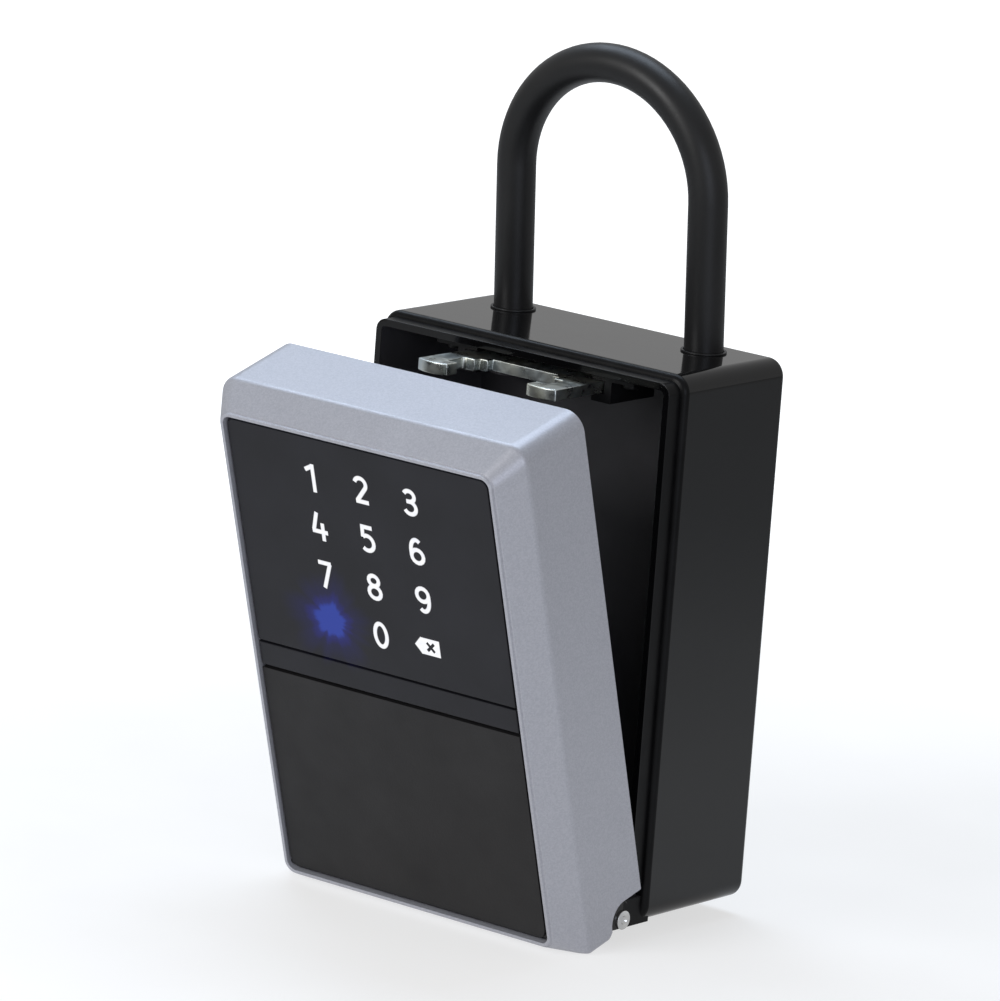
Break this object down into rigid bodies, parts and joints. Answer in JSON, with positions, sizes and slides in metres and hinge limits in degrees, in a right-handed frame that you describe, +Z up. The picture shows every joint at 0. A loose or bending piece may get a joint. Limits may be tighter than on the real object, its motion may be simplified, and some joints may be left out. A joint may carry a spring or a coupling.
{
  "type": "smart key box",
  "caption": "Hanging key box with a padlock shackle, a bottom-hinged lid with a lit touch keypad, a battery cover and motor-driven bolts.",
  "frame": {"origin": "centre of the housing's flat back face", "axes": "+Z up, +Y out of the back face towards the wall, +X to the right seen from the front"},
  "size_m": [0.084, 0.0932, 0.1865],
  "materials": {
    "gloss_black_paint": "high-gloss black enamel on die-cast zinc",
    "silver_paint": "fine silver metallic paint on die-cast zinc",
    "keypad_window": "smoked polycarbonate, semi-gloss",
    "black_moulding": "fine-textured black moulding",
    "shackle_coat": "satin black plastic sleeve",
    "hardened_steel": "hardened steel",
    "zinc_plate": "bright zinc-plated steel",
    "bright_steel": "polished steel",
    "black_oxide": "blackened pressed steel",
    "black_rubber": "soft black rubber",
    "board_green": "solder mask",
    "white_light": "white light-emitting diodes",
    "blue_light": "blue light-emitting diode",
    "cell_can": "printed can, plain",
    "gear_brass": "machined brass"
  },
  "bodies": {
    "housing": {"housing": "gloss_black_paint", "shackle_bushes": "shackle_coat", "fork_guides": "black_oxide", "guide_screws": "black_oxide", "hinge_pins": "bright_steel"},
    "fork": {"release_fork": "zinc_plate"},
    "shackle": {"shackle_core": "hardened_steel", "shackle_sleeve": "shackle_coat"},
    "lid": {"lid_frame": "silver_paint", "keypad_panel": "keypad_window", "centre_strip": "keypad_window", "panel_carrier": "black_moulding", "circuit_board": "board_green", "digit_leds": "white_light", "status_led": "blue_light", "radio_module": "bright_steel", "battery_tray": "black_moulding", "battery_cell": "cell_can", "battery_contacts": "bright_steel", "bolt_shelf": "black_moulding", "bolt_cap": "zinc_plate", "lock_motor": "bright_steel", "motor_clip": "black_moulding", "inner_cover": "black_moulding", "cover_screws": "zinc_plate", "lid_seal": "black_rubber", "key_hook": "bright_steel"},
    "battery_cover": {"battery_cover": "black_moulding"},
    "pinion": {"lock_pinion": "gear_brass"},
    "bolt_left": {"bolt_left": "zinc_plate"},
    "bolt_right": {"bolt_right": "zinc_plate"}
  },
  "joints": [
    {"name": "lid_hinge", "type": "hinge", "parent": "housing", "child": "lid", "pos_m": [0, -0.0411, -0.0581], "axis": [1, 0, 0], "range_deg": [-17, 73]},
    {"name": "fork_slide", "type": "slide", "parent": "housing", "child": "fork", "axis": [0, 1, 0], "range_m": [0, 0.0025]},
    {"name": "shackle_lift", "type": "slide", "parent": "housing", "child": "shackle", "axis": [0, -0.0785, 0.9969], "range_m": [0, 0.03]},
    {"name": "battery_cover_tilt", "type": "hinge", "parent": "lid", "child": "battery_cover", "pos_m": [0, -0.05949, -0.0597], "axis": [1, 0, 0], "range_deg": [0, 55]},
    {"name": "pinion_turn", "type": "hinge", "parent": "lid", "child": "pinion", "pos_m": [0, -0.07899, 0.04702], "axis": [0, -0.2924, 0.9563], "range_deg": [0, 50.2]},
    {"name": "bolt_right_slide", "type": "slide", "parent": "lid", "child": "bolt_right", "axis": [1, 0, 0], "range_m": [0, 0.0028]},
    {"name": "bolt_left_slide", "type": "slide", "parent": "lid", "child": "bolt_left", "axis": [-1, 0, 0], "range_m": [0, 0.0028]}
  ],
  "couplings": [
    {"joint": "pinion_turn", "follows": "bolt_right_slide", "rad_per_m": 312.5},
    {"joint": "bolt_left_slide", "follows": "bolt_right_slide", "ratio": 1}
  ]
}
